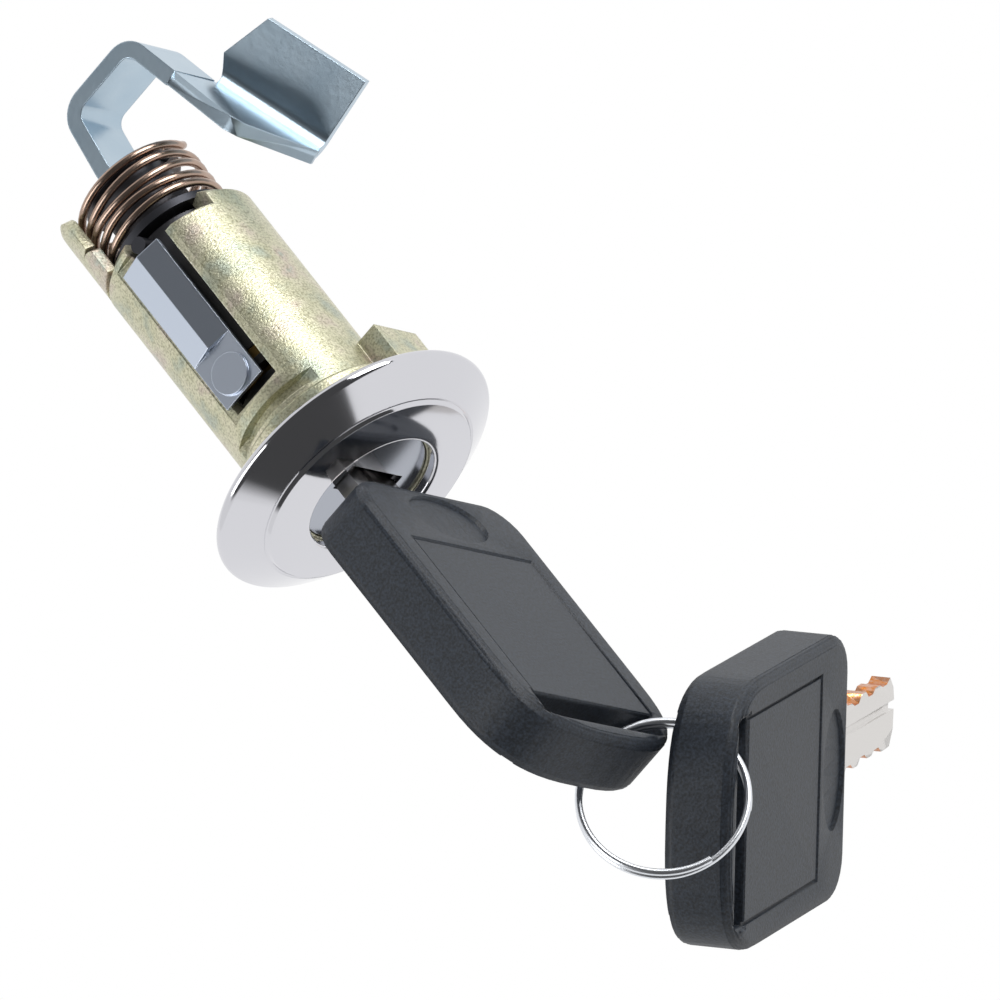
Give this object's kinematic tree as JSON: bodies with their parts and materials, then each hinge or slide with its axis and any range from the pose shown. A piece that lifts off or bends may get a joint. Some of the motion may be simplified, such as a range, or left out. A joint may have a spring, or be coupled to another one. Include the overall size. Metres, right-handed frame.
{
  "type": "trunk lock cylinder",
  "caption": "Cast lock barrel with a chrome escutcheon, sprung return lever, wafer plug and two plastic-headed keys on a split ring.",
  "frame": {"origin": "on the lock's axis, in the plane where the chrome rim seats on the panel", "axes": "+Y along the lock axis towards the lever, -Y towards the keys, +Z towards the retaining clip in the barrel's top, +X as the side the lever returns on"},
  "size_m": [0.0447, 0.1259, 0.0947],
  "materials": {
    "zinc_cast": "die-cast zinc with a yellow passivated plating",
    "chrome_shell": "polished chrome",
    "dark_cast": "dark die-cast zinc",
    "plug_cap": "satin pressed steel",
    "steel_small": "plain steel",
    "wafer_brass": "stamped brass",
    "spring_steel": "drawn spring steel",
    "blue_zinc": "sheet steel with a blue zinc plating",
    "coppered_wire": "coppered spring wire",
    "key_blade": "nickel-plated brass, bare in the cuts",
    "key_plastic": "fine-grained black plastic",
    "ring_steel": "nickel-plated spring wire"
  },
  "bodies": {
    "body": {"housing": "zinc_cast", "escutcheon": "chrome_shell", "retaining_clip": "blue_zinc", "torsion_spring": "coppered_wire"},
    "plug": {"plug": "dark_cast", "plug_face": "plug_cap", "stop_pin": "steel_small", "wafer_springs": "spring_steel", "shutter_pin": "steel_small", "shutter_spring": "spring_steel", "tail_washer": "steel_small", "tail_clip": "steel_small", "lever": "blue_zinc", "lever_rivet": "steel_small"},
    "wafer_1": {"wafer_1": "wafer_brass"},
    "wafer_2": {"wafer_2": "wafer_brass"},
    "wafer_3": {"wafer_3": "wafer_brass"},
    "wafer_4": {"wafer_4": "wafer_brass"},
    "wafer_5": {"wafer_5": "wafer_brass"},
    "wafer_6": {"wafer_6": "wafer_brass"},
    "shutter": {"shutter_flap": "steel_small"},
    "key_1": {"key_1_blade": "key_blade", "key_1_head": "key_plastic"},
    "ring": {"key_ring": "ring_steel"},
    "key_2": {"key_2_blade": "key_blade", "key_2_head": "key_plastic"}
  },
  "joints": [
    {"name": "plug_turn", "type": "hinge", "parent": "body", "child": "plug", "pos_m": [0, 0, 0], "axis": [0, 1, 0], "range_deg": [0, 50], "stiffness_Nm_per_rad": 0.06, "springref_deg": -34.38, "deforming": ["torsion_spring"]},
    {"name": "wafer_1_slide", "type": "slide", "parent": "plug", "child": "wafer_1", "axis": [0, 0, 1], "range_m": [0, 0.0012], "stiffness_N_per_m": 60, "springref_m": 0.0025, "deforming": ["wafer_springs"]},
    {"name": "wafer_2_slide", "type": "slide", "parent": "plug", "child": "wafer_2", "axis": [0, 0, -1], "range_m": [0, 0.0014], "stiffness_N_per_m": 60, "springref_m": 0.0025},
    {"name": "wafer_3_slide", "type": "slide", "parent": "plug", "child": "wafer_3", "axis": [0, 0, 1], "range_m": [0, 0.0014], "stiffness_N_per_m": 60, "springref_m": 0.0025},
    {"name": "wafer_4_slide", "type": "slide", "parent": "plug", "child": "wafer_4", "axis": [0, 0, -1], "range_m": [0, 0.0013], "stiffness_N_per_m": 60, "springref_m": 0.0025},
    {"name": "wafer_5_slide", "type": "slide", "parent": "plug", "child": "wafer_5", "axis": [0, 0, 1], "range_m": [0, 0.0013], "stiffness_N_per_m": 60, "springref_m": 0.0025},
    {"name": "wafer_6_slide", "type": "slide", "parent": "plug", "child": "wafer_6", "axis": [0, 0, -1], "range_m": [0, 0.0011], "stiffness_N_per_m": 60, "springref_m": 0.0025},
    {"name": "shutter_fold", "type": "hinge", "parent": "plug", "child": "shutter", "pos_m": [0.00245, -0.00145, 0], "axis": [0, 0, -1], "range_deg": [0, 8], "stiffness_Nm_per_rad": 0.00002, "springref_deg": -85.94, "deforming": ["shutter_spring"]},
    {"name": "key_1_pull", "type": "slide", "parent": "plug", "child": "key_1", "axis": [0, -1, 0], "range_m": [0, 0.03]},
    {"name": "ring_swing", "type": "hinge", "parent": "key_1", "child": "ring", "pos_m": [0.0014, -0.0514, -0.00812], "axis": [0, 0, 1], "range_deg": [-25, 8]},
    {"name": "key_2_swing", "type": "hinge", "parent": "ring", "child": "key_2", "pos_m": [0.00388, -0.05709, -0.01038], "axis": [0.7795, 0.565, 0.2705], "range_deg": [-20, 4]}
  ]
}
